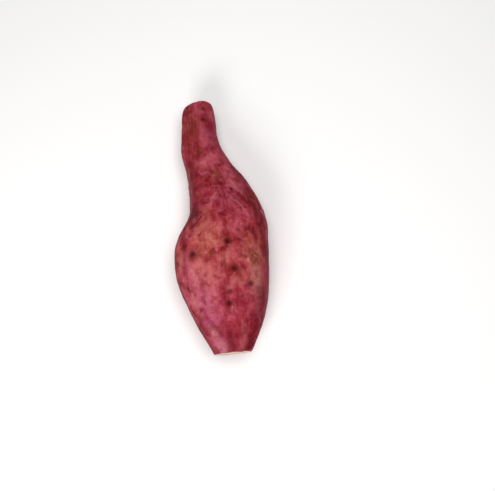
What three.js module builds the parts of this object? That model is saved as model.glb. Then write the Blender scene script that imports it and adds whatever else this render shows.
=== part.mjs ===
// A whole red-skinned sweet potato, trimmed at both ends, lying on a flat spot of its belly.
//
// It is one piece: a storage root with a fat belly and a narrow neck. The root lies along Y, with
// the neck towards +Y, X to the right and Z up. The table that it rests on is the plane Z = 0, and
// the origin is on that plane, under the middle of the root's bounding box. Lengths are millimetres.

import * as THREE from "three";

// The skin's distance from the growing axis at each station, out to the left (-X) and to the
// right (+X), up and down. "along" runs from the cut at the root end to the cut at the neck.
const STATIONS = [
  { along: 0, left: 12.4, right: 12.9, up: 12.2, down: 11.8 },
  { along: 12, left: 17.6, right: 20.2, up: 18.4, down: 17.4 },
  { along: 24, left: 22.0, right: 25.7, up: 23.2, down: 22.0 },
  { along: 37, left: 26.4, right: 29.7, up: 27.2, down: 26.2 },
  { along: 50, left: 29.8, right: 32.2, up: 29.8, down: 29.4 },
  { along: 64, left: 30.8, right: 33.8, up: 31.0, down: 31.2 },
  { along: 76, left: 29.2, right: 34.9, up: 30.6, down: 31.4 },
  { along: 84, left: 25.7, right: 35.3, up: 29.6, down: 30.8 },
  { along: 90, left: 21.2, right: 34.7, up: 28.6, down: 29.6 },
  { along: 97, left: 17.4, right: 33.2, up: 27.0, down: 27.6 },
  { along: 106, left: 16.3, right: 30.0, up: 24.6, down: 24.6 },
  { along: 116, left: 15.3, right: 25.2, up: 21.4, down: 21.2 },
  { along: 127, left: 14.9, right: 18.6, up: 18.2, down: 18.4 },
  { along: 135, left: 16.4, right: 14.2, up: 15.8, down: 16.6 },
  { along: 143, left: 17.2, right: 11.2, up: 13.8, down: 15.2 },
  { along: 152, left: 16.0, right: 9.5, up: 12.2, down: 13.8 },
  { along: 161, left: 14.7, right: 9.9, up: 11.6, down: 12.8 },
  { along: 169.5, left: 13.0, right: 9.7, up: 10.8, down: 11.4 },
  { along: 174.5, left: 11.2, right: 8.6, up: 9.6, down: 9.8 },
];
const LENGTH = STATIONS[STATIONS.length - 1].along;

// How the root lies: the neck dips until the root's weight is over its flat spot.
const NECK_DIP = THREE.MathUtils.degToRad(4);
// The belly is flattened where it lies: this much of it would be under the table, and the edge
// of the flat spot is eased over this height.
const FLATTENED = 2.6;
const FLAT_EDGE = 1.2;

// The knife went through both ends a little aslant, so that the neck's left side is shorter and the
// root end's right side is longer. The neck's cut also leans, so that its top stands out the
// furthest. A slant or lean fades out this far from its cut.
const NECK_CUT_SLANT = THREE.MathUtils.degToRad(4);
const NECK_CUT_LEAN = THREE.MathUtils.degToRad(8);
const ROOT_CUT_SLANT = THREE.MathUtils.degToRad(-2.5);
const CUT_REACH = 30;

// Low swellings that run round and along the root: height, waves round it, waves along it, and
// where round and along they start, in turns.
const SWELLINGS = [
  { height: 0.55, round: 3, along: 1.3, startRound: 0.1, startAlong: 0.2 },
  { height: 0.4, round: 2, along: 2.6, startRound: 0.35, startAlong: 0.6 },
  { height: 0.3, round: 5, along: 1.9, startRound: 0.75, startAlong: 0.15 },
];

// The mesh: rings along the root, and sides in each ring.
const RINGS = 58;
const SIDES = 48;

const FLESH_AND_SKIN = new THREE.MeshStandardMaterial({
  color: 0x8e3340,
  roughness: 0.5,
  metalness: 0,
});

/** A station's measure at any place along the root, on a smooth curve through all the stations. */
function measureAt(name, along) {
  const last = STATIONS.length - 1;
  let i = 0;
  while (i < last - 1 && STATIONS[i + 1].along < along) i += 1;
  const slopeAt = (k) => {
    const before = STATIONS[Math.max(k - 1, 0)];
    const after = STATIONS[Math.min(k + 1, last)];
    return (after[name] - before[name]) / (after.along - before.along);
  };
  const a = STATIONS[i];
  const b = STATIONS[i + 1];
  const span = b.along - a.along;
  const t = (along - a.along) / span;
  const curve = new THREE.CubicBezierCurve(
    new THREE.Vector2(0, a[name]),
    new THREE.Vector2(1 / 3, a[name] + (slopeAt(i) * span) / 3),
    new THREE.Vector2(2 / 3, b[name] - (slopeAt(i + 1) * span) / 3),
    new THREE.Vector2(1, b[name]),
  );
  return curve.getPoint(t).y;
}

/** How far the skin swells out at a place along the root and an angle round it. */
function swelling(along, angle) {
  const fade = Math.sin(Math.PI * THREE.MathUtils.clamp(along / LENGTH, 0, 1));
  let sum = 0;
  for (const s of SWELLINGS) {
    const round = Math.cos(s.round * angle + 2 * Math.PI * s.startRound);
    const lengthwise = Math.cos(2 * Math.PI * ((s.along * along) / LENGTH + s.startAlong));
    sum += s.height * round * lengthwise;
  }
  return sum * fade;
}

/** A point of the skin, on the root's own axes: X to the right, Y along it and Z up. */
function skinPoint(along, angle) {
  const x = Math.cos(angle);
  const z = Math.sin(angle);
  const wide = measureAt(x < 0 ? "left" : "right", along);
  const high = measureAt(z < 0 ? "down" : "up", along);
  const out = swelling(along, angle);
  const point = new THREE.Vector3(x * (wide + out), along, z * (high + out));
  const nearNeckCut = THREE.MathUtils.smoothstep(along, LENGTH - CUT_REACH, LENGTH);
  const nearRootCut = 1 - THREE.MathUtils.smoothstep(along, 0, CUT_REACH);
  const slant = Math.tan(NECK_CUT_SLANT) * nearNeckCut + Math.tan(ROOT_CUT_SLANT) * nearRootCut;
  const lean = Math.tan(NECK_CUT_LEAN) * nearNeckCut;
  point.y += point.x * slant + point.z * lean;
  return point;
}

/** Eases what would be under the table up onto it, and leaves the rest where it is. */
function settle(z) {
  if (z >= FLAT_EDGE) return z;
  if (z <= -FLAT_EDGE) return 0;
  return (z + FLAT_EDGE) ** 2 / (4 * FLAT_EDGE);
}

/** The root's surface as rings of points with a flat cut at each end, as one closed mesh. */
function rootGeometry() {
  const points = [];
  for (let ring = 0; ring <= RINGS; ring += 1) {
    for (let side = 0; side < SIDES; side += 1) {
      points.push(skinPoint((LENGTH * ring) / RINGS, (2 * Math.PI * side) / SIDES));
    }
  }
  const tilt = new THREE.Matrix4().makeRotationX(-NECK_DIP);
  for (const point of points) point.applyMatrix4(tilt);
  const lowest = Math.min(...points.map((point) => point.z));
  for (const point of points) point.z -= lowest + FLATTENED;

  // Each cut's middle, which its triangles fan out from.
  const middleOf = (ring) => {
    const rim = points.slice(ring * SIDES, (ring + 1) * SIDES);
    const sum = rim.reduce((total, point) => total.add(point), new THREE.Vector3());
    return sum.divideScalar(SIDES);
  };
  const rootCut = points.push(middleOf(0)) - 1;
  const neckCut = points.push(middleOf(RINGS)) - 1;

  for (const point of points) point.z = settle(point.z);
  const box = new THREE.Box3().setFromPoints(points);
  const middle = box.getCenter(new THREE.Vector3()).setZ(box.min.z);
  for (const point of points) point.sub(middle);

  const triangles = [];
  for (let side = 0; side < SIDES; side += 1) {
    const next = (side + 1) % SIDES;
    for (let ring = 0; ring < RINGS; ring += 1) {
      const a = ring * SIDES + side;
      const b = ring * SIDES + next;
      triangles.push(a, a + SIDES, b, b, a + SIDES, b + SIDES);
    }
    triangles.push(rootCut, side, next);
    triangles.push(neckCut, RINGS * SIDES + next, RINGS * SIDES + side);
  }
  const geometry = new THREE.BufferGeometry().setFromPoints(points);
  geometry.setIndex(triangles);
  geometry.computeVertexNormals();
  return geometry;
}

const sweetPotato = new THREE.Mesh(rootGeometry(), FLESH_AND_SKIN);
sweetPotato.name = "sweet_potato";

const part = new THREE.Group();
part.add(sweetPotato);

export default part;
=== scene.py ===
"""The looks of a whole red-skinned sweet potato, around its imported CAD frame.

The root is one closed mesh. Its rings are cast from the growing axis onto the CAD solid, smoothed,
and then sculpted: lumps, eyes, grooves, worn rims and dried cut faces. A place on the skin is said as
"along", millimetres from the cut at the root end, and "round", degrees about the axis: 0 is the
right-hand side, 90 the top, 180 the left and 270 the underside.
"""

import math
import random

import bpy
import numpy as np
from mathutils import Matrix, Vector, noise
from mathutils.bvhtree import BVHTree


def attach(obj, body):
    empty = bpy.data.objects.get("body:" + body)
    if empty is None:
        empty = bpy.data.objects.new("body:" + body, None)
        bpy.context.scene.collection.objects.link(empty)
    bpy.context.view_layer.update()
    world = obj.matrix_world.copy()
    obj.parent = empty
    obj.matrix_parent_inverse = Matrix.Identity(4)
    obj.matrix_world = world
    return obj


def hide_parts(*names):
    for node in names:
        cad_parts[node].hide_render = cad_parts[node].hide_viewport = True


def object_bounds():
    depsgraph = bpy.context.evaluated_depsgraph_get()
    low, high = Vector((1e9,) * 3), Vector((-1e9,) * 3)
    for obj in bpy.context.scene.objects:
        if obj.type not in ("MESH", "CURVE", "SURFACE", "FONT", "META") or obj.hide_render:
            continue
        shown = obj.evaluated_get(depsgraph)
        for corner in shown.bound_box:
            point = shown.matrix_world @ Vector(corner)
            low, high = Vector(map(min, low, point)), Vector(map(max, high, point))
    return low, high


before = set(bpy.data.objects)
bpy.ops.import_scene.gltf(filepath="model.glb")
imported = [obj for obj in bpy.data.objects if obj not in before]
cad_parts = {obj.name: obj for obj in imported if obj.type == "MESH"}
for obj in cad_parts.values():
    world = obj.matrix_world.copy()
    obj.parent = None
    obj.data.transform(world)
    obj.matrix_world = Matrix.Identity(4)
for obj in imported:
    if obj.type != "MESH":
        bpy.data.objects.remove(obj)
CAD_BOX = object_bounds()

MM = 0.001

# ---------------------------------------------------------------- camera, lights and floor

# The camera looks down on the root, a little from its root end and its left. PICTURE_WIDTH is what
# it takes in from side to side at the root's own distance, and the root lies off the picture's
# middle by OFF_RIGHT and OFF_UP.
CAMERA_AZIMUTH = math.radians(-7.9)
CAMERA_ELEVATION = math.radians(84)
CAMERA_DISTANCE = 600 * MM
PICTURE_WIDTH = 339.2 * MM
OFF_RIGHT = -19.9 * MM
OFF_UP = 13.7 * MM


def middle_of_root():
    """The middle of the CAD model's box."""
    return (CAD_BOX[0] + CAD_BOX[1]) / 2


def add_camera():
    """The photograph's camera, set by where it stands from the root."""
    away = Vector((
        math.sin(CAMERA_AZIMUTH) * math.cos(CAMERA_ELEVATION),
        -math.cos(CAMERA_AZIMUTH) * math.cos(CAMERA_ELEVATION),
        math.sin(CAMERA_ELEVATION),
    ))
    turn = away.to_track_quat("Z", "Y")
    aim = middle_of_root() - turn @ Vector((OFF_RIGHT, OFF_UP, 0))
    data = bpy.data.cameras.new("camera")
    data.lens = data.sensor_width * CAMERA_DISTANCE / PICTURE_WIDTH
    camera = bpy.data.objects.new("camera", data)
    camera.rotation_mode = "QUATERNION"
    camera.rotation_quaternion = turn
    camera.location = aim + away * CAMERA_DISTANCE
    bpy.context.collection.objects.link(camera)
    bpy.context.scene.camera = camera


def add_softbox(name, place, side, watts, colour):
    """A square area light at a place, facing the root."""
    data = bpy.data.lights.new(name, "AREA")
    data.size = side
    data.energy = watts
    data.color = colour
    light = bpy.data.objects.new(name, data)
    light.location = place
    light.rotation_mode = "QUATERNION"
    light.rotation_quaternion = (Vector(place) - middle_of_root()).to_track_quat("Z", "Y")
    bpy.context.collection.objects.link(light)


def add_lights():
    """A soft window at the front left, a bigger soft light overhead, and a dim pale room."""
    add_softbox("window", (-0.24, -0.42, 0.52), 0.3, 2.3, (1.0, 0.97, 0.95))
    add_softbox("ceiling", (0.08, 0.02, 0.95), 0.5, 6.7, (1.0, 0.99, 0.98))
    world = bpy.data.worlds.new("room")
    world.use_nodes = True
    background = world.node_tree.nodes["Background"]
    background.inputs["Color"].default_value = (0.96, 0.97, 1.0, 1)
    background.inputs["Strength"].default_value = 0.18
    bpy.context.scene.world = world
    bpy.context.scene.view_settings.view_transform = "Standard"


# ---------------------------------------------------------------- shader helpers


def display(red, green, blue):
    """A colour as a screen shows it, 0 to 255, as the linear colour that a shader takes."""
    linear = []
    for value in (red, green, blue):
        v = value / 255
        linear.append(v / 12.92 if v <= 0.04045 else ((v + 0.055) / 1.055) ** 2.4)
    return (*linear, 1.0)


class Shader:
    """One material, with short calls that each add a node and return its output."""

    def __init__(self, name):
        self.material = bpy.data.materials.new(name)
        self.material.use_nodes = True
        self.tree = self.material.node_tree
        self.surface = self.tree.nodes["Principled BSDF"]
        self.place = self.node("TexCoord").outputs["Object"]

    def node(self, kind, inputs=(), **settings):
        """Adds a node with these settings, and feeds its inputs."""
        made = self.tree.nodes.new("ShaderNode" + kind)
        for name, value in settings.items():
            setattr(made, name, value)
        for key, value in dict(inputs).items():
            self.feed(made.inputs[key], value)
        return made

    def feed(self, socket, value):
        """Gives an input another node's output, or a constant."""
        if isinstance(value, bpy.types.NodeSocket):
            self.tree.links.new(value, socket)
        else:
            socket.default_value = value

    def attribute(self, name):
        """A value that the mesh holds at each point."""
        return self.node("Attribute", attribute_name=name).outputs["Fac"]

    def maths(self, operation, a, b=0.0):
        """A sum, product or other operation on two values."""
        return self.node("Math", {0: a, 1: b}, operation=operation).outputs["Value"]

    def times(self, a, b):
        return self.maths("MULTIPLY", a, b)

    def plus(self, a, b):
        return self.maths("ADD", a, b)

    def off(self, value, middle):
        """How far a value is from a middle one, either way."""
        return self.maths("ABSOLUTE", self.plus(value, -middle))

    def ramp(self, value, low, high, start=0.0, end=1.0):
        """Eases from start to end as the value goes from low to high."""
        inputs = {"Value": value, "From Min": low, "From Max": high, "To Min": start, "To Max": end}
        return self.node("MapRange", inputs, interpolation_type="SMOOTHSTEP").outputs["Result"]

    def scaled(self, size, stretch=1.0):
        """The place in units of size, drawn out along the root by stretch."""
        by = (1 / size, 1 / (size * stretch), 1 / size)
        made = self.node("VectorMath", {0: self.place, 1: by}, operation="MULTIPLY")
        return made.outputs["Vector"]

    def cloud(self, size, detail=3.0, rough=0.5, stretch=1.0, warp=0.0):
        """Soft noise, 0 to 1 about 0.5, whose lumps are size across."""
        inputs = {"Vector": self.scaled(size, stretch), "Scale": 1.0, "Detail": detail}
        inputs.update({"Roughness": rough, "Distortion": warp})
        return self.node("TexNoise", inputs).outputs["Fac"]

    def over(self, colour, tone, factor):
        """A colour with a tone laid over it: none of it where the factor is 0, all where it is 1."""
        inputs = {0: factor, 6: colour, 7: tone}
        return self.node("Mix", inputs, data_type="RGBA", clamp_factor=True).outputs[2]

    def bump(self, height, distance):
        """Makes the surface look raised by a height of 0 to 1 times a distance."""
        inputs = {"Height": height, "Strength": 1.0, "Distance": distance}
        self.feed(self.surface.inputs["Normal"], self.node("Bump", inputs).outputs["Normal"])


# ---------------------------------------------------------------- materials

# The skin's tones: from dark to light, then those of its eyes, scars and flaked places. Some light
# tones also paint sheen and light, and wine paints shade, where the patches say so.
WINE = display(96, 6, 26)
RED = display(136, 24, 36)
ROSE = display(162, 50, 62)
PINK = display(194, 92, 112)
# Mostly a painted sheen, low on the left and at the root end, and partly a tint of the skin.
LILAC_AND_SHEEN = display(182, 92, 134)
TAN = display(176, 98, 82)
BROWN = display(104, 36, 28)
OLIVE = display(110, 56, 22)
BARK = display(66, 12, 12)
DUST = display(200, 112, 112)
PALE = display(222, 164, 160)


class SkinShader(Shader):
    """Thin red skin: mottled, streaked lengthwise, tan where it has flaked, dark in its eyes."""

    def __init__(self):
        super().__init__("skin")
        self.patches = self.cloud(20 * MM, detail=2)
        self.mottle = self.cloud(9.5 * MM, detail=4, rough=0.62, warp=0.5)
        self.smears = self.cloud(3.2 * MM, detail=3, rough=0.55, stretch=2.4, warp=0.8)
        self.streaks = self.cloud(3.6 * MM, detail=3, rough=0.55, stretch=7, warp=0.9)
        self.wrinkles = self.cloud(4 * MM, detail=3, rough=0.5, stretch=0.4, warp=0.9)
        self.flecks = self.cloud(5.5 * MM, detail=3, rough=0.5, warp=0.3)
        self.grain = self.cloud(1.3 * MM, detail=2)
        # Where the skin is satin, its mottling and specks are fainter.
        self.calm = self.ramp(self.attribute("satin"), 0.0, 1.0, start=1.0, end=0.4)

    def dusted(self, colour, cloud, most):
        """A colour with dust on the high parts of a cloud."""
        return self.over(colour, DUST, self.times(self.ramp(cloud, 0.52, 0.73, end=most), self.calm))

    def darkened(self, colour, cloud, most):
        """A colour with wine red on the low parts of a cloud."""
        return self.over(colour, WINE, self.times(self.ramp(cloud, 0.48, 0.27, end=most), self.calm))

    def mottled(self):
        """Red skin, rose in places, with soft pink and wine-coloured mottling and streaks."""
        colour = self.over(RED, ROSE, self.ramp(self.patches, 0.35, 0.65))
        colour = self.over(colour, PINK, self.ramp(self.mottle, 0.48, 0.7, end=0.65))
        darker = self.times(self.ramp(self.mottle, 0.5, 0.29, end=0.85), self.calm)
        colour = self.over(colour, WINE, darker)
        colour = self.over(colour, WINE, self.ramp(self.streaks, 0.5, 0.72, end=0.35))
        return self.over(colour, PINK, self.ramp(self.streaks, 0.49, 0.3, end=0.35))

    def light_patches(self, colour):
        """Ragged patches of lighter tones, which in places are painted sheen and painted light."""
        ragged = self.plus(self.mottle, self.times(self.flecks, 0.7))
        ragged = self.ramp(ragged, 0.62, 1.05, start=0.3, end=1.3)
        for name, tone in (("pink", PINK), ("lilac_and_sheen", LILAC_AND_SHEEN), ("tan", TAN)):
            colour = self.over(colour, tone, self.times(self.attribute(name), ragged))
        return colour

    def specks(self, colour):
        """Fine smears, wrinkles and flecks, dusty or dark, all over."""
        colour = self.darkened(self.dusted(colour, self.smears, 0.3), self.smears, 0.35)
        colour = self.dusted(colour, self.wrinkles, 0.22)
        colour = self.darkened(self.dusted(colour, self.flecks, 0.4), self.flecks, 0.58)
        return self.over(colour, WINE, self.ramp(self.grain, 0.46, 0.27, end=0.1))

    def dark_patches(self, colour):
        """Soft wine-coloured patches, and brown ones streaked lengthwise. Some wine patches are
        painted shade, and the brown on the neck's left is partly painted shade.
        """
        soft = self.ramp(self.mottle, 0.3, 0.6, start=1.0, end=0.75)
        colour = self.over(colour, WINE, self.times(self.attribute("wine"), soft))
        lengthwise = self.ramp(self.streaks, 0.35, 0.65, start=0.4, end=1.1)
        return self.over(colour, BROWN, self.times(self.attribute("brown"), lengthwise))

    def scratches(self, colour):
        """Hair-thin dusty lines here and there, and pale marks: chips in the skin, and in places
        painted sheen and painted light.
        """
        wandering = self.cloud(7 * MM, detail=4, rough=0.55, warp=1.2)
        line = self.ramp(self.off(wandering, 0.5), 0.006, 0.0)
        here_and_there = self.ramp(self.cloud(9 * MM, detail=2), 0.52, 0.64, end=0.4)
        colour = self.over(colour, DUST, self.times(line, here_and_there))
        chipped = self.ramp(self.plus(self.grain, self.flecks), 0.8, 1.05, start=0.45, end=1.1)
        return self.over(colour, PALE, self.times(self.attribute("pale"), chipped))

    def eyes(self, colour):
        """Eyes with a ragged brown halo and a dark floor, and olive scars."""
        ragged = self.ramp(self.flecks, 0.3, 0.6, start=0.6, end=1.1)
        colour = self.over(colour, BROWN, self.times(self.attribute("halo"), ragged))
        colour = self.over(colour, OLIVE, self.times(self.attribute("olive"), 0.9))
        return self.over(colour, BARK, self.times(self.attribute("eye"), 0.95))

    def gloss(self):
        """How rough the skin is: dull where it is tan or pitted, and smoother where it is satin."""
        rough = self.ramp(self.mottle, 0.3, 0.7, start=0.44, end=0.58)
        for name, more in (("tan", 0.1), ("satin", -0.1), ("eye", 0.3)):
            rough = self.plus(rough, self.times(self.attribute(name), more))
        return rough


def skin_material():
    """The skin's colour, built up in layers, with its gloss and its fine relief."""
    s = SkinShader()
    colour = s.specks(s.light_patches(s.mottled()))
    colour = s.eyes(s.scratches(s.dark_patches(colour)))
    s.feed(s.surface.inputs["Base Color"], colour)
    s.feed(s.surface.inputs["Roughness"], s.gloss())
    # The reflection is low, so that the flanks stay red where they turn away.
    s.surface.inputs["IOR"].default_value = 1.34
    s.surface.inputs["Specular IOR Level"].default_value = 0.03
    s.bump(s.plus(s.grain, s.times(s.plus(s.smears, s.wrinkles), 0.7)), 0.24 * MM)
    return s.material


# The tones of a cut: its flesh and core, the dried film, the layer under the skin, and stains.
FLESH = display(232, 164, 118)
CORE = display(224, 142, 88)
DRIED = display(232, 208, 192)
CORTEX = display(200, 136, 108)
STAIN = display(150, 92, 72)


def flesh_material():
    """A cut face some days old: orange flesh under a pale dried film, darker just under the skin."""
    s = Shader("cut_flesh")
    inward = s.attribute("inward")
    blotches = s.cloud(6 * MM, detail=4, rough=0.6, warp=0.6)
    film = s.cloud(2.6 * MM, detail=4, rough=0.6)
    grain = s.cloud(0.7 * MM, detail=3)
    uneven = s.plus(inward, s.times(s.plus(blotches, -0.5), 5 * MM))

    colour = s.over(FLESH, CORE, s.ramp(uneven, 3 * MM, 8 * MM, end=0.7))
    colour = s.over(colour, DRIED, s.ramp(film, 0.3, 0.62, start=0.5, end=0.92))
    colour = s.over(colour, FLESH, s.ramp(blotches, 0.5, 0.34, end=0.45))
    ring = s.times(s.ramp(s.off(uneven, 2.2 * MM), 0.9 * MM, 0.1 * MM), s.ramp(film, 0.35, 0.6))
    colour = s.over(colour, CORTEX, s.times(ring, 0.6))
    colour = s.over(colour, CORE, s.ramp(grain, 0.6, 0.75, end=0.5))
    stained = s.times(s.ramp(uneven, 1.6 * MM, 0.3 * MM), s.ramp(blotches, 0.4, 0.6))
    colour = s.over(colour, STAIN, s.times(stained, 0.6))
    colour = s.over(colour, ROSE, s.ramp(inward, 0.6 * MM, 0.2 * MM))

    s.feed(s.surface.inputs["Base Color"], colour)
    s.feed(s.surface.inputs["Roughness"], s.ramp(film, 0.3, 0.7, start=0.6, end=0.8))
    s.surface.inputs["Specular IOR Level"].default_value = 0.3
    s.surface.inputs["Subsurface Weight"].default_value = 0.12
    s.surface.inputs["Subsurface Radius"].default_value = (0.004, 0.002, 0.001)
    s.bump(s.plus(grain, film), 0.35 * MM)
    return s.material


FLOOR = display(242, 242, 242)
FLOOR_LIGHT = display(246, 246, 246)
# How far the floor runs from the middle, each way, in metres.
FLOOR_REACH = 4.0


def floor_material():
    """Smooth, pale and very slightly uneven."""
    s = Shader("floor")
    s.feed(s.surface.inputs["Base Color"], s.over(FLOOR, FLOOR_LIGHT, s.cloud(0.3, detail=2)))
    s.surface.inputs["Roughness"].default_value = 0.6
    return s.material


def add_floor():
    """The pale table top that the root lies on."""
    mesh = bpy.data.meshes.new("floor")
    reach = FLOOR_REACH
    corners = [(-reach, -reach, 0), (reach, -reach, 0), (reach, reach, 0), (-reach, reach, 0)]
    mesh.from_pydata(corners, [], [(0, 1, 2, 3)])
    mesh.materials.append(floor_material())
    floor = bpy.data.objects.new("floor", mesh)
    bpy.context.collection.objects.link(floor)


# ---------------------------------------------------------------- the skin's marks

# Eyes, where side roots grew: along, round, half-length, half-width, depth (mm), and how dark.
EYES = [
    (168, 70, 1.4, 1.4, 0.40, 0.55),
    (160, 77, 1.5, 1.5, 0.45, 0.75),
    (106, 54, 1.0, 1.2, 0.50, 0.95),
    (78, 107, 1.0, 1.0, 0.20, 0.3),
    (77, 60, 1.6, 1.6, 0.30, 0.4),
    (76, 38, 2.0, 1.8, 0.30, 0.4),
    (70, 76, 2.2, 2.0, 0.80, 1.0),
    (65, 125, 2.4, 3.0, 0.60, 0.85),
    (65, 59, 0.9, 0.9, 0.20, 0.35),
    (60, 60, 1.4, 1.6, 0.20, 0.25),
    (52, 72, 1.9, 2.3, 0.60, 0.95),
    (42, 52, 2.0, 2.0, 0.55, 0.8),
    (45, 144, 1.3, 1.3, 0.30, 0.7),
    (38, 81, 1.5, 2.2, 0.40, 0.6),
    (30, 83, 2.2, 1.6, 0.70, 0.9),
    (29, 132, 1.3, 1.3, 0.35, 0.5),
    (4, 142, 0.9, 0.9, 0.25, 0.5),
]

# Thin marks: tone, where each starts and ends (along, round), half-width (mm) and strength.
STROKES = [
    ("pale", (40, 139), (32, 141), 1.0, 0.2),
    ("pale", (124, 147), (122.5, 146), 0.6, 0.5),
    ("pale", (90.5, 18), (89.5, 16), 0.6, 0.6),
    ("pale", (90, 15), (87, 12), 0.4, 0.4),
    ("pale", (28.4, 80), (27.6, 80), 0.4, 0.45),
    ("pale", (67, 77.5), (66.6, 74), 0.5, 0.35),
    ("eye", (34, 85), (24, 84), 0.5, 0.4),
    ("eye", (33, 79), (25, 78), 0.4, 0.35),
    ("wine", (83, 119), (88, 107), 1.3, 0.9),
    ("olive", (64, 98), (62, 98), 1.3, 0.9),
    ("olive", (65, 110), (65, 108), 1.1, 0.5),
    ("olive", (60, 84), (58, 82), 0.9, 0.5),
    ("olive", (56, 86), (55, 85), 1.0, 0.55),
    ("olive", (53, 90), (52, 90), 0.8, 0.4),
    # An old scar: a ragged ring, open on its left, with a tail and a dot.
    ("olive", (59, 49), (60.8, 44), 0.9, 0.85),
    ("olive", (60.8, 44), (59.8, 38.5), 1.2, 1.0),
    ("olive", (59.8, 38.5), (57.5, 40), 0.9, 0.85),
    ("olive", (57.5, 40), (54.8, 46), 1.3, 1.0),
    ("olive", (56.8, 49), (54.6, 47), 1.2, 1.0),
    ("olive", (54.6, 47), (53, 49.5), 0.8, 0.8),
    ("olive", (58.4, 35), (57.4, 34), 0.8, 0.7),
    ("pale", (61, 52.5), (56, 54), 0.5, 0.35),
    # Scratches.
    ("pale", (108, 71), (100, 86), 0.5, 0.14),
    ("pale", (100, 86), (93, 91), 0.6, 0.12),
    ("pale", (101, 66), (94, 49), 0.5, 0.15),
    ("pale", (94, 49), (86, 43), 0.6, 0.14),
    ("pale", (106, 43), (100, 36), 0.6, 0.14),
    ("pale", (112, 50), (104, 44), 0.6, 0.12),
    ("pale", (73, 46), (72, 41), 0.5, 0.2),
    ("pale", (20, 64), (10, 62), 0.7, 0.1),
]

# Patches of another tone: tone, along, round, half-length, half-width (mm) and strength. A satin
# patch has no colour of its own: it is smoother, and its mottling is fainter. Some patches are
# painted sheen, painted light or painted shade, as the notes above them say.
PATCHES = [
    ("tan", 73, 100, 9, 9, 0.75),
    ("tan", 84, 101, 7, 4, 0.6),
    ("tan", 61, 84, 8, 7, 0.3),
    ("tan", 78, 118, 7, 5, 0.3),
    ("tan", 62, 112, 7, 6, 0.5),
    ("tan", 51, 110, 9, 8, 0.5),
    # Tan skin, and partly painted light: the next three patches lighten the right flank where it
    # turns from the light.
    ("tan", 47, 42, 11, 5, 0.8),
    ("tan", 62, 46, 9, 8, 0.7),
    ("tan", 67, 34, 6, 4, 0.4),
    ("tan", 49, 64, 6, 5, 0.5),
    # Tan skin, and partly painted light along the left rim, where it catches the window.
    ("tan", 66, 152, 10, 3, 0.9),
    ("tan", 36, 139, 6, 1.8, 0.9),
    # Painted sheen, partly pink skin, low on the left.
    ("pink", 52, 122, 9, 9, 0.6),
    ("pink", 46, 46, 9, 4, 0.4),
    # Painted sheen, partly pink skin: the next seven patches, low on the left and at the root end.
    ("pink", 54, 148, 8, 4, 0.5),
    ("pink", 38, 128, 11, 9, 0.6),
    ("pink", 36, 146, 9, 5, 0.7),
    ("pink", 20, 124, 9, 7, 0.4),
    ("pink", 14, 122, 6, 3, 0.5),
    ("pink", 6, 136, 7, 4, 0.5),
    ("pink", 6, 60, 9, 2.6, 0.2),
    ("pink", 131, 72, 7, 5, 0.3),
    ("pink", 118, 42, 9, 6, 0.4),
    # Pink skin, and partly a painted highlight near the neck's cut.
    ("pink", 168, 96, 6, 5, 0.6),
    ("pink", 156, 84, 12, 2.5, 0.5),
    ("wine", 28, 66, 14, 7, 0.5),
    ("wine", 42, 90, 8, 5, 0.3),
    ("wine", 16, 100, 12, 10, 0.4),
    # Painted shade, partly wine-red skin: the next seven patches, in the root end's grooves and down
    # the right flank.
    ("wine", 6, 88, 12, 4.2, 1.0),
    ("wine", 6, 38, 11, 4, 0.9),
    ("wine", 27, 32, 16, 6, 0.8),
    ("wine", 36, 20, 14, 5, 0.3),
    ("wine", 58, 18, 18, 6, 0.8),
    ("wine", 84, 22, 12, 6, 0.6),
    ("wine", 114, 20, 20, 5, 0.7),
    # Painted shade, partly crimson skin, down the left below the neck.
    ("wine", 118, 135, 18, 6, 0.6),
    ("wine", 94, 74, 7, 7, 0.3),
    ("wine", 99, 117, 9, 7, 0.8),
    # Painted shade in the groove down the left flank.
    ("wine", 71, 139, 14, 2.2, 0.45),
    ("wine", 154, 60, 12, 6, 0.5),
    # Brown skin on the neck's left, made darker there as painted shade.
    ("brown", 156, 125, 16, 7, 0.8),
    ("brown", 152, 92, 7, 6, 0.5),
    ("brown", 136, 104, 4, 4.5, 1.0),
    ("brown", 117, 80, 8, 5, 0.5),
    ("brown", 94, 30, 10, 5, 0.5),
    ("brown", 96, 118, 7, 5, 0.4),
    ("brown", 57, 84, 6, 4, 0.4),
    ("olive", 58, 44, 2.2, 2, 0.4),
    ("olive", 117, 68, 5, 4, 0.25),
    ("olive", 153, 110, 8, 4, 0.15),
    # Painted sheen at the root end.
    ("pale", 6, 61, 9, 3, 0.07),
    # Painted light on the right flank, where it turns from the light.
    ("pale", 45, 43, 9, 4, 0.2),
    # Painted sheen: the next four patches, low on the left and at the root end.
    ("pale", 35, 118, 10, 6, 0.07),
    ("pale", 50, 126, 7, 5, 0.1),
    ("pale", 4, 117, 5, 3.5, 0.22),
    ("pale", 14, 124, 4, 2.2, 0.3),
    # Painted sheen: the next three patches, low on the left and at the root end.
    ("lilac_and_sheen", 34, 122, 12, 8, 0.42),
    ("lilac_and_sheen", 18, 120, 9, 6, 0.42),
    ("lilac_and_sheen", 5, 116, 7, 5, 0.45),
    ("lilac_and_sheen", 102, 62, 9, 7, 0.2),
    ("lilac_and_sheen", 150, 62, 12, 4, 0.3),
    ("satin", 8, 90, 26, 30, 0.8),
    ("satin", 42, 124, 12, 10, 0.45),
    ("satin", 155, 80, 26, 20, 0.7),
    ("satin", 45, 20, 34, 9, 0.9),
    ("satin", 112, 150, 20, 8, 0.8),
]

# Grooves in the skin, and ridges where the depth is below zero: where each starts and ends
# (along, round), its half-width and its depth (mm).
GROOVES = [
    ((54, 140), (90, 138), 2.6, 0.8),
    ((0, 88), (34, 83), 2.8, 0.55),
    ((0, 104), (30, 108), 3.0, -0.3),
    ((0, 62), (26, 62), 3.0, -0.3),
    ((0, 38), (22, 36), 2.6, 0.4),
    ((110, 128), (134, 122), 3.0, 0.4),
]
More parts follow.
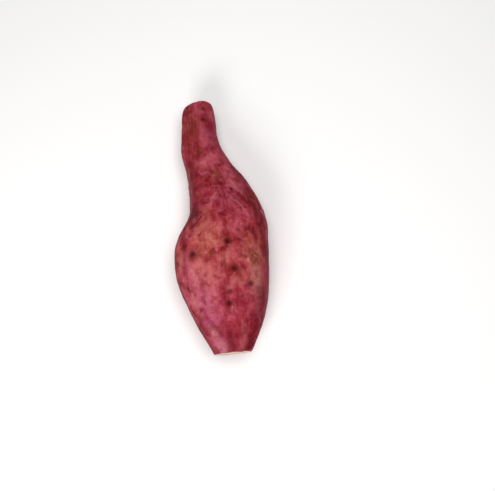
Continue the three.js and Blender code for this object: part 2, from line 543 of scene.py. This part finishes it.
# A groove eases in and out over this length at its ends, unless it starts at the cut.
GROOVE_FADE = 8 * MM

# Lumps all over the skin, from broad swellings to fine wrinkles: height and size (mm), and how many
# times as long as wide they are.
LUMPS = [
    (0.60, 26, 1),
    (0.22, 8, 1),
    (0.10, 3.5, 6),
    (0.05, 2.4, 1),
]

# How many random eyes and patches there are round the far side.
FAR_EYES = 26
FAR_PATCHES = 34


# ---------------------------------------------------------------- the root's mesh

RINGS = 300
SIDES = 280
CUT_RINGS = 14
# The first and last rays that find the skin start this far inside the cuts, as a share of the length.
INSIDE_CUT = 0.0015
# Passes that smooth away the CAD solid's flat faces, which are about six sides or rings wide.
SMOOTHING = 18
# A mark stops at points that are this much lower than its own place, and FAR_OFF is added to its
# spread there, so that none of it shows on the far side.
FAR_SIDE = 12 * MM
FAR_OFF = 99
# How far apart two seeds are in the noise, in lumps.
SEED_STEP = 17.3


class CutEnd:
    """The flat cut at one end of the CAD solid: its middle and its outward normal."""

    def __init__(self, solid, at_neck):
        self.at_neck = at_neck
        direction = Vector((0, 1 if at_neck else -1, 0))
        faces = [f for f in solid.data.polygons if f.normal.dot(direction) > 0.95]
        area = sum(f.area for f in faces)
        self.middle = sum((f.center * f.area for f in faces), Vector()) / area
        self.normal = sum((f.normal * f.area for f in faces), Vector()).normalized()


def cast_rings(solid, root_end, neck_end):
    """The skin's distance from the axis at each ring and side, and each ring's centre and the two
    directions that it is measured in: right and up."""
    tree = BVHTree.FromPolygons(
        [v.co for v in solid.data.vertices],
        [tuple(f.vertices) for f in solid.data.polygons],
    )
    centres, rights, ups, radii = [], [], [], []
    for ring in range(RINGS + 1):
        share = ring / RINGS
        forward = (-root_end.normal).lerp(neck_end.normal, share).normalized()
        right = (Vector((1, 0, 0)) - forward * forward.x).normalized()
        up = right.cross(forward)
        inside = min(max(share, INSIDE_CUT), 1 - INSIDE_CUT)
        start = root_end.middle.lerp(neck_end.middle, inside)
        row = []
        for side in range(SIDES):
            angle = 2 * math.pi * side / SIDES
            ray = right * math.cos(angle) + up * math.sin(angle)
            row.append(tree.ray_cast(start, ray)[3])
        centres.append(root_end.middle.lerp(neck_end.middle, share))
        rights.append(right)
        ups.append(up)
        radii.append(row)
    return np.array(radii), np.array(centres), np.array(rights), np.array(ups)


def smooth(field):
    """Averages each value with its neighbours round and along the root, a number of times."""
    for _ in range(SMOOTHING):
        field = (np.roll(field, 1, 1) + 2 * field + np.roll(field, -1, 1)) / 4
        inner = (field[:-2] + 2 * field[1:-1] + field[2:]) / 4
        field = np.concatenate([field[:1], inner, field[-1:]])
    return field


def normals_of(points):
    """The outward normal at each point of the rings, and the direction along the root."""
    along = np.gradient(points, axis=0)
    round_it = (np.roll(points, -1, 1) - np.roll(points, 1, 1)) / 2
    out = np.cross(along, round_it)
    out /= np.linalg.norm(out, axis=2, keepdims=True)
    along /= np.linalg.norm(along, axis=2, keepdims=True)
    return out, along


def noise_at(points, size, octaves=3, stretch=1.0, seed=0):
    """Smooth random values of about -1 to 1 at each point, whose lumps are size across."""
    scaled = points / (size, size * stretch, size) + seed * SEED_STEP
    values = [noise.fractal(place, 1.0, 2.0, octaves) for place in scaled.reshape(-1, 3).tolist()]
    return np.array(values).reshape(points.shape[:2])


class Skin:
    """The rings of points of the root's side, with the values that its marks add to them."""

    TONES = ("eye", "halo", "tan", "pink", "lilac_and_sheen", "wine", "brown", "olive", "pale", "satin")

    def __init__(self, solid, root_end, neck_end):
        radii, centres, rights, ups = cast_rings(solid, root_end, neck_end)
        radii = smooth(radii)
        angles = 2 * math.pi * np.arange(SIDES) / SIDES
        directions = (
            rights[:, None] * np.cos(angles)[None, :, None]
            + ups[:, None] * np.sin(angles)[None, :, None]
        )
        self.length = np.linalg.norm(centres[-1] - centres[0])
        self.points = centres[:, None] + directions * radii[..., None]
        self.radii = radii
        self.out, self.forward = normals_of(self.points)
        self.across = np.cross(self.forward, self.out)
        self.raised = np.zeros(radii.shape)
        self.tones = {name: np.zeros(radii.shape) for name in self.TONES}
        self.along = np.linspace(0, self.length, RINGS + 1)[:, None]
        self.round = np.degrees(angles)[None, :]

    def nearest(self, along, round_it):
        """The ring and the side of the point nearest to a place."""
        ring = int(round(np.clip(along * MM / self.length, 0, 1) * RINGS))
        return ring, int(round(round_it / 360 * SIDES)) % SIDES

    def offsets(self, along, round_it):
        """How far each point is from a place, lengthwise and crosswise, in metres, and what to add
        to a mark's spread there: nothing, or FAR_OFF on the far side of the root."""
        ring, side = self.nearest(along, round_it)
        reach = self.points - self.points[ring, side]
        lengthwise = reach @ self.forward[ring, side]
        crosswise = reach @ self.across[ring, side]
        sunk = reach @ self.out[ring, side]
        return lengthwise, crosswise, np.where(sunk < -FAR_SIDE, FAR_OFF, 0)

    def tint(self, tone, amount):
        """Raises a tone to an amount wherever it is less than that."""
        self.tones[tone] = np.clip(np.maximum(self.tones[tone], amount), 0, 1)

    def eye(self, along, round_it, half_length, half_width, depth, dark):
        """A dimple with a low rim, a slit across it and a dark floor. Its spread is 1 where the
        dimple's edge is."""
        lengthwise, crosswise, far = self.offsets(along, round_it)
        long_share = lengthwise / (half_length * MM)
        wide_share = crosswise / (half_width * MM)
        spread = long_share**2 + wide_share**2 + far
        dimple = np.exp(-spread / 1.2)
        rim = np.exp(-(((np.sqrt(spread) - 1.9) / 0.7) ** 2))
        slit = np.exp(-((long_share / 0.45) ** 2) - (0.8 * wide_share) ** 2 - far)
        self.raised += depth * MM * (0.4 * rim - 1.2 * dimple - 0.7 * slit)
        self.tint("eye", dark * np.exp(-(spread**1.3) / 0.8))
        self.tint("halo", 0.8 * dark * np.exp(-spread / 2.4))

    def stroke(self, tone, start, end, half_width, strength):
        """A thin straight mark of another tone."""
        lengthwise, crosswise, far = self.offsets(*start)
        finish = self.nearest(*end)
        run = (lengthwise[finish], crosswise[finish])
        share = (lengthwise * run[0] + crosswise * run[1]) / (run[0] ** 2 + run[1] ** 2)
        share = np.clip(share, 0, 1)
        gap = np.hypot(lengthwise - share * run[0], crosswise - share * run[1])
        self.tint(tone, strength * np.exp(-((gap / (half_width * MM)) ** 2) - far))

    def patch(self, tone, along, round_it, half_length, half_width, strength):
        """A soft-edged patch of another tone."""
        lengthwise, crosswise, far = self.offsets(along, round_it)
        spread = (lengthwise / (half_length * MM)) ** 2 + (crosswise / (half_width * MM)) ** 2
        self.tint(tone, strength * np.exp(-(spread + far) / 1.4))

    def groove(self, start, end, half_width, depth):
        """A groove along the root, which fades out at its ends."""
        share = (self.along / MM - start[0]) / (end[0] - start[0])
        line = start[1] + (end[1] - start[1]) * np.clip(share, 0, 1)
        crosswise = np.radians(self.round - line) * self.radii
        fade_out = np.clip((end[0] * MM - self.along) / GROOVE_FADE, 0, 1)
        fade_in = np.clip((self.along - start[0] * MM) / GROOVE_FADE, 0, 1) if start[0] > 0 else 1.0
        profile = np.exp(-((crosswise / (half_width * MM)) ** 2))
        self.raised -= depth * MM * profile * ease(fade_out) * ease(fade_in)

    def lumps(self):
        """Unevenness at every scale."""
        for seed, (height, size, stretch) in enumerate(LUMPS, start=1):
            rise = noise_at(self.points, size * MM, stretch=stretch, seed=seed)
            self.raised += height * MM * rise

    def worn_rims(self):
        """Rounds off the edges of both cuts, the neck's more."""
        to_neck = self.length - self.along
        self.raised -= 0.5 * MM * np.exp(-self.along / (0.8 * MM))
        self.raised -= 0.8 * MM * np.exp(-to_neck / (1.0 * MM))

    def sculpted(self):
        """The points with everything raised, and none below the table."""
        points = self.points + self.out * self.raised[..., None]
        points[..., 2] = np.maximum(points[..., 2], 0)
        return points


def ease(share):
    """A share from 0 to 1 with no corner at either end."""
    return share * share * (3 - 2 * share)


def mark(skin):
    """Puts all the listed marks on the skin, and random eyes and patches round its far side."""
    skin.lumps()
    skin.worn_rims()
    for groove in GROOVES:
        skin.groove(*groove)
    for eye in EYES:
        skin.eye(*eye)
    for stroke in STROKES:
        skin.stroke(*stroke)
    for patch in PATCHES:
        skin.patch(*patch)
    dice = random.Random(7)
    for _ in range(FAR_EYES):
        skin.eye(
            dice.uniform(8, 168), dice.uniform(192, 348), dice.uniform(0.9, 1.9),
            dice.uniform(0.9, 2.4), dice.uniform(0.2, 0.6), dice.uniform(0.3, 0.95),
        )
    for _ in range(FAR_PATCHES):
        skin.patch(
            dice.choice(("tan", "tan", "pink", "wine", "brown")), dice.uniform(0, 174),
            dice.uniform(175, 360), dice.uniform(5, 14), dice.uniform(3, 8), dice.uniform(0.3, 0.7),
        )


class Shell:
    """A mesh as it grows: its points, how far each is in from the skin, and its faces."""

    def __init__(self):
        self.points, self.inward, self.faces = [], [], []
        self.count = 0

    def add(self, points, inward):
        """Adds points that are all this far in, and returns the number of the first."""
        first = self.count
        self.points.append(points)
        self.inward.append(np.full(len(points), inward))
        self.count += len(points)
        return first

    def bridge(self, first, second):
        """Adds the faces between two rings, which start at these numbers. They face out of the
        root where the second ring is the one nearer the neck's cut."""
        for k in range(SIDES):
            after = (k + 1) % SIDES
            self.faces.append((first + k, second + k, second + after, first + after))

    def close(self, rim, first, end, seed):
        """Closes the end whose rim of points starts at a number. The cut's flesh has dried and
        sunk a little, unevenly."""
        middle = rim.mean(0)
        radius = np.linalg.norm(rim - middle, axis=1).mean()
        for k in range(1, CUT_RINGS):
            share = 1 - (k / CUT_RINGS) ** 1.2
            inward = radius * (1 - share)
            ring = middle + (rim - middle) * share
            rough = 0.16 * noise_at(ring[None], 3 * MM, seed=seed)[0]
            wavy = 0.3 * noise_at(ring[None], 9 * MM, octaves=2, seed=seed + 5)[0]
            hollow = 0.5 * ease(min(inward / (2.5 * MM), 1))
            sunk = hollow - (rough + wavy) * min(inward / MM, 1)
            ring = ring - np.array(end.normal) * (sunk * MM)[:, None]
            second = self.add(ring, inward)
            if end.at_neck:
                self.bridge(first, second)
            else:
                self.bridge(second, first)
            first = second
        tip = self.add(ring.mean(0)[None], radius)
        for k in range(SIDES):
            here, after = first + k, first + (k + 1) % SIDES
            self.faces.append((tip, after, here) if end.at_neck else (tip, here, after))


def closed_shell(side, root_end, neck_end):
    """A shell of the root's side and both of its cuts, and how many of its faces are skin."""
    shell = Shell()
    shell.add(side.reshape(-1, 3), 0.0)
    for ring in range(RINGS):
        shell.bridge(ring * SIDES, (ring + 1) * SIDES)
    skin_faces = len(shell.faces)
    shell.close(side[0], 0, root_end, seed=11)
    shell.close(side[-1], RINGS * SIDES, neck_end, seed=12)
    return shell, skin_faces


def add_root():
    """The whole root as one closed mesh, with the skin's tones as values at its points."""
    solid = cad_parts["sweet_potato"]
    root_end = CutEnd(solid, at_neck=False)
    neck_end = CutEnd(solid, at_neck=True)
    skin = Skin(solid, root_end, neck_end)
    mark(skin)
    shell, skin_faces = closed_shell(skin.sculpted(), root_end, neck_end)

    mesh = bpy.data.meshes.new("sweet_potato_skin")
    mesh.from_pydata(np.concatenate(shell.points).tolist(), [], shell.faces)
    for name, values in skin.tones.items():
        write_values(mesh, name, np.append(values, np.zeros(shell.count - values.size)))
    write_values(mesh, "inward", np.concatenate(shell.inward))
    mesh.materials.append(skin_material())
    mesh.materials.append(flesh_material())
    is_flesh = np.arange(len(shell.faces)) >= skin_faces
    mesh.polygons.foreach_set("material_index", is_flesh.astype(np.int32))
    mesh.shade_smooth()
    mesh.validate()
    root = bpy.data.objects.new("sweet_potato_skin", mesh)
    bpy.context.collection.objects.link(root)
    return root


def write_values(mesh, name, values):
    """Keeps a number for each point of a mesh under a name."""
    attribute = mesh.attributes.new(name, "FLOAT", "POINT")
    attribute.data.foreach_set("value", np.ascontiguousarray(values, dtype=np.float32))


def main():
    """Sets the scene, and says what the root's mesh rides on and stands for."""
    add_camera()
    add_lights()
    add_floor()
    root = add_root()
    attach(root, "root")
    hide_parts("sweet_potato")


main()
